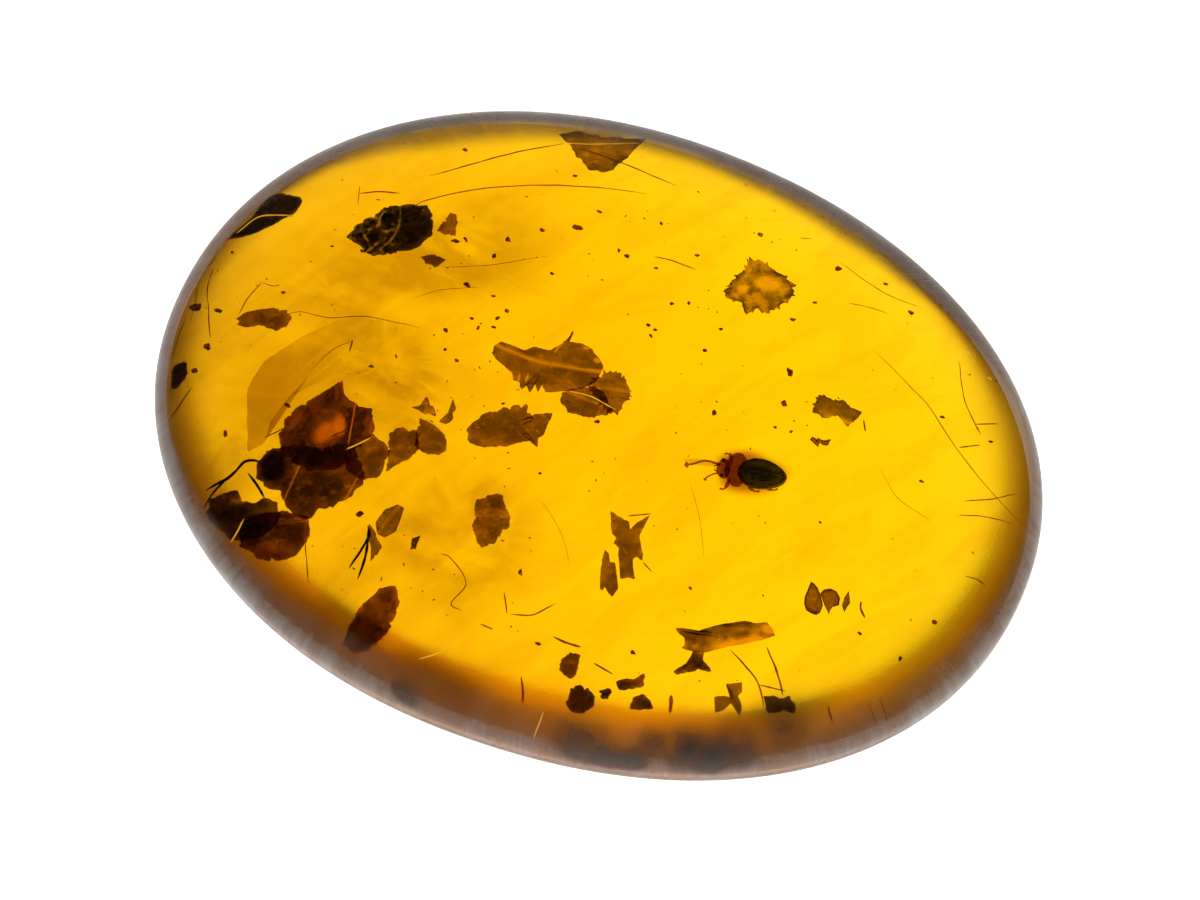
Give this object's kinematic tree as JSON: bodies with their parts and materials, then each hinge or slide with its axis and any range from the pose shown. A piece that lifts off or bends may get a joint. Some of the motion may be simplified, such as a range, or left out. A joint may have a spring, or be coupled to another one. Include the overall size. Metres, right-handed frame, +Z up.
{
  "type": "insect in amber",
  "caption": "Polished oval cabochon of clear yellow amber with a small beetle and scraps of bark and leaf sealed inside, lying on its flat base.",
  "frame": {"origin": "under the middle of the stone's box, on the plane of its flat base", "axes": "+X along the oval's length, +Y across it, +Z up through the dome"},
  "size_m": [0.04, 0.031, 0.0095],
  "materials": {
    "amber": "polished",
    "beetle_shell": "glossy chitin, brown at the head",
    "dark_bark": "matt, carbonised",
    "brown_bark": "matt, flaky",
    "russet_bark": "matt, translucent at the edges",
    "olive_leaf": "matt, papery",
    "tan_fibre": "matt, fibrous",
    "dark_resin": "clouded film of older resin"
  },
  "bodies": {
    "root": {"amber_lower": "amber", "amber_upper": "amber", "banded_seed": "brown_bark", "bark_core": "brown_bark", "bark_crumb": "brown_bark", "bark_lobe": "brown_bark", "beetle": "beetle_shell", "black_bark": "dark_bark", "bottom_chip_a": "dark_bark", "bottom_chip_b": "brown_bark", "bottom_chip_c": "dark_bark", "bottom_chip_d": "dark_bark", "bottom_chip_e": "brown_bark", "bristle_pair": "dark_bark", "brown_block": "russet_bark", "dark_chip": "dark_bark", "domed_bark": "brown_bark", "flow_sheet": "dark_resin", "forked_leaf": "olive_leaf", "fringed_bark": "brown_bark", "fuzzy_tuft": "tan_fibre", "grey_blade": "olive_leaf", "leaflet_a": "brown_bark", "leaflet_b": "olive_leaf", "leaflet_c": "brown_bark", "left_flake": "brown_bark", "mid_bark": "brown_bark", "olive_bark": "olive_leaf", "petal": "olive_leaf", "pod": "tan_fibre", "pod_stub": "brown_bark", "red_bark": "russet_bark", "red_leaf": "russet_bark", "rim_flake": "dark_bark", "rim_patch": "dark_bark", "rootlet": "dark_bark", "small_leaf": "brown_bark", "spiky_leaf": "brown_bark", "spindle": "brown_bark", "square_crumb": "dark_bark", "striped_bark": "brown_bark", "top_bark": "dark_bark", "top_wedge": "olive_leaf", "triangle_scrap": "brown_bark", "twin_bark": "brown_bark", "v_leaf": "olive_leaf", "wing_scrap": "tan_fibre", "zigzag_scrap": "brown_bark"}
  },
  "joints": []
}
